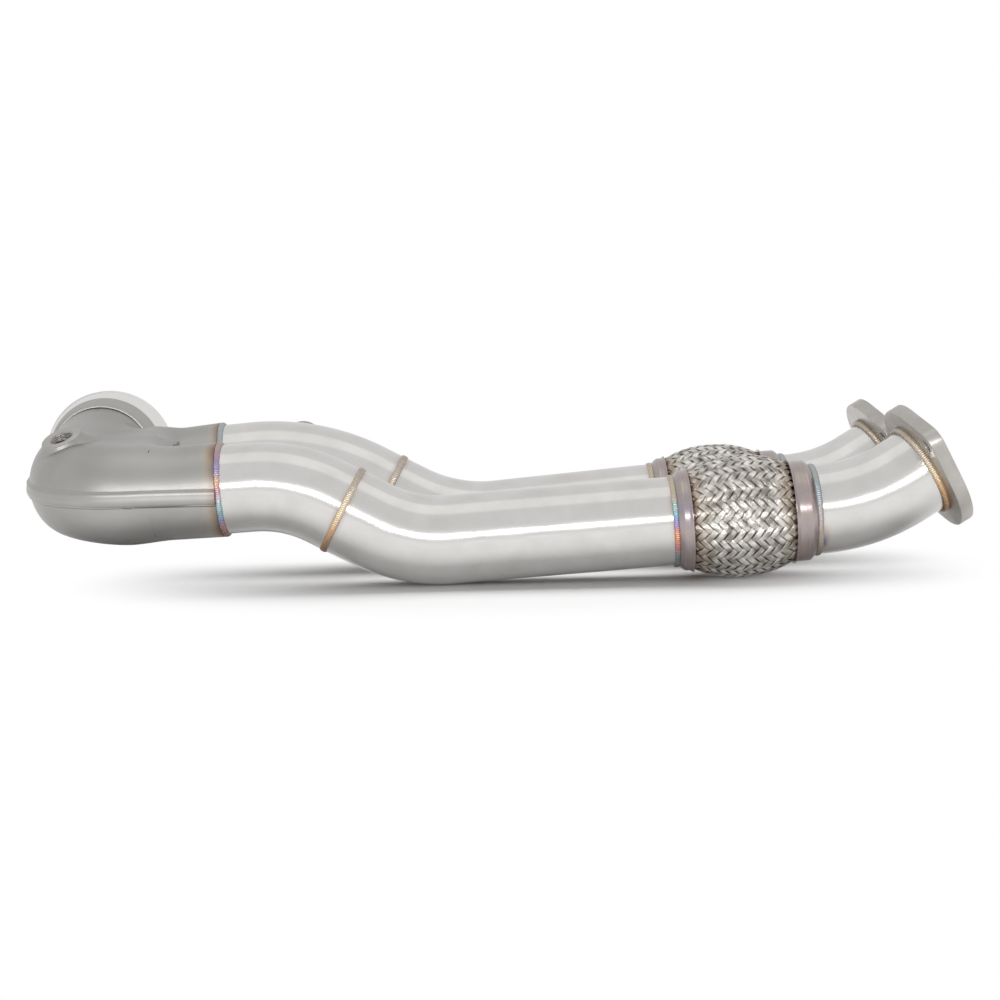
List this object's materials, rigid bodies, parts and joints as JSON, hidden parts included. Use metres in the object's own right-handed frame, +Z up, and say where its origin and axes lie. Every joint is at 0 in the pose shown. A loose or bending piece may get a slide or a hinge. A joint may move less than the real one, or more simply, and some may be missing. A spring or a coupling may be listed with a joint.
{
  "type": "turbo downpipe",
  "caption": "Twin turbo downpipe: a bonnet with a round V-band inlet feeds parallel bent tubes, each with a braided flex section and an angled outlet flange.",
  "frame": {"origin": "centre of the turbo inlet ring's outer face", "axes": "+X along the pipes from the bonnet to the outlet flanges, +Y out of the turbo inlet, +Z up as the part lies on the floor"},
  "size_m": [0.688, 0.2075, 0.137],
  "materials": {
    "tube_steel": "smooth drawn stainless tube with soft length-wise highlights",
    "bonnet_steel": "satin, fine blasted stainless sheet",
    "ring_steel": "turned bright stainless ring",
    "boss_steel": "turned stainless boss",
    "weld_steel": "weld bead with straw, purple and blue heat colours",
    "collar_steel": "formed stainless skin with a brown and violet heat tint",
    "braid_steel": "woven stainless strands",
    "bellows_steel": "thin corrugated stainless",
    "liner_steel": "smooth stainless sleeve",
    "flange_steel": "satin machined stainless plate"
  },
  "bodies": {
    "root": {"vband_flange": "ring_steel", "bonnet_inlet_weld": "weld_steel", "bonnet_upper_shell": "bonnet_steel", "bonnet_lower_shell": "bonnet_steel", "bonnet_sensor_boss": "boss_steel", "bonnet_sensor_boss_weld": "bonnet_steel", "rear_sensor_bung": "boss_steel", "rear_sensor_bung_weld": "weld_steel", "front_bonnet_weld": "weld_steel", "front_upper_tube": "tube_steel", "front_mid_weld": "weld_steel", "front_lower_tube": "tube_steel", "front_flex_inlet_weld": "weld_steel", "front_flex_inlet_collar": "collar_steel", "front_flex_braid": "braid_steel", "front_flex_bellows": "bellows_steel", "front_flex_liner": "liner_steel", "front_flex_outlet_collar": "collar_steel", "front_flex_outlet_weld": "weld_steel", "front_outlet_tube": "tube_steel", "front_outlet_weld": "weld_steel", "front_outlet_flange": "flange_steel", "rear_bonnet_weld": "weld_steel", "rear_upper_tube": "tube_steel", "rear_mid_weld": "weld_steel", "rear_lower_tube": "tube_steel", "rear_flex_inlet_weld": "weld_steel", "rear_flex_inlet_collar": "collar_steel", "rear_flex_braid": "braid_steel", "rear_flex_bellows": "bellows_steel", "rear_flex_liner": "liner_steel", "rear_flex_outlet_collar": "collar_steel", "rear_flex_outlet_weld": "weld_steel", "rear_outlet_tube": "tube_steel", "rear_outlet_weld": "weld_steel", "rear_outlet_flange": "flange_steel"}
  },
  "joints": []
}
